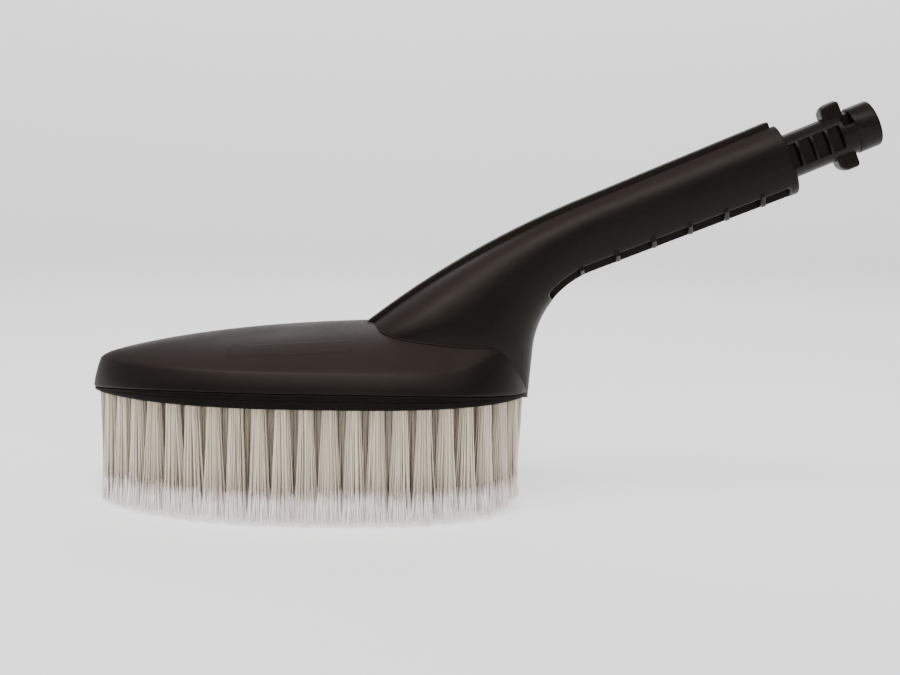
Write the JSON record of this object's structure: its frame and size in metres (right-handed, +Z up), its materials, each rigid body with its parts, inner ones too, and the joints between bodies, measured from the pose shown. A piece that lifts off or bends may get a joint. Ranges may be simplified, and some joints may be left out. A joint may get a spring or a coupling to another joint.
{
  "type": "wash brush",
  "caption": "Rigid oval wash brush with a deep field of soft tufts, a rising ribbed handle with a covered water channel, and a bayonet spigot for a pressure washer gun.",
  "frame": {"origin": "middle of the bounding box's base, on the surface that the bristle tips stand on", "axes": "+X from the head's nose towards the inlet spigot, +Y across the head, +Z up from the bristle tips to the deck"},
  "size_m": [0.2973, 0.082, 0.156],
  "materials": {
    "black_plastic": "fine grained black polypropylene, satin",
    "cover_plastic": "fine grained black polypropylene, satin",
    "spigot_plastic": "black acetal, satin with slight gloss",
    "block_plastic": "black polypropylene, matt",
    "seal_rubber": "black nitrile rubber",
    "screw_steel": "stainless, bright",
    "bristle_nylon": "translucent ivory nylon with flagged tips",
    "anchor_wire": "flat drawn wire"
  },
  "bodies": {
    "root": {"housing": "black_plastic", "channel_cover": "cover_plastic", "bayonet_spigot": "spigot_plastic", "front_seal_ring": "seal_rubber", "rear_seal_ring": "seal_rubber", "brush_block": "block_plastic", "block_gasket": "seal_rubber", "block_screws": "screw_steel", "tufts_row_1": "bristle_nylon", "tufts_row_2": "bristle_nylon", "tufts_row_3": "bristle_nylon", "tufts_row_4": "bristle_nylon", "tufts_row_5": "bristle_nylon", "anchors_row_1": "anchor_wire", "anchors_row_2": "anchor_wire", "anchors_row_3": "anchor_wire", "anchors_row_4": "anchor_wire", "anchors_row_5": "anchor_wire"}
  },
  "joints": []
}
